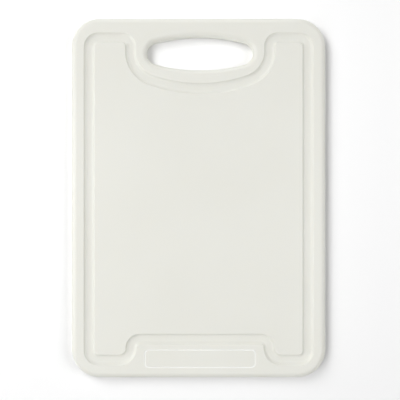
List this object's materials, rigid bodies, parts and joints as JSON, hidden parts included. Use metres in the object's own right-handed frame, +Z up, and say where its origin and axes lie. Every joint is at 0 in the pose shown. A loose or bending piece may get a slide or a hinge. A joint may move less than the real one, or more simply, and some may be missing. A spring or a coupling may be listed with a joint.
{
  "type": "cutting board",
  "caption": "Flat moulded plastic cutting board with rounded edges, an oval hand hole and a juice groove that follows its edge.",
  "frame": {"origin": "middle of the underside, on the surface that the board lies on", "axes": "+Z up out of the cutting surface, +Y along the length towards the hand hole, +X to the right as seen from above"},
  "size_m": [0.25, 0.353, 0.012],
  "materials": {
    "board_plastic": "satin ivory polyethylene with a fine moulded grain"
  },
  "bodies": {
    "root": {"board": "board_plastic"}
  },
  "joints": []
}
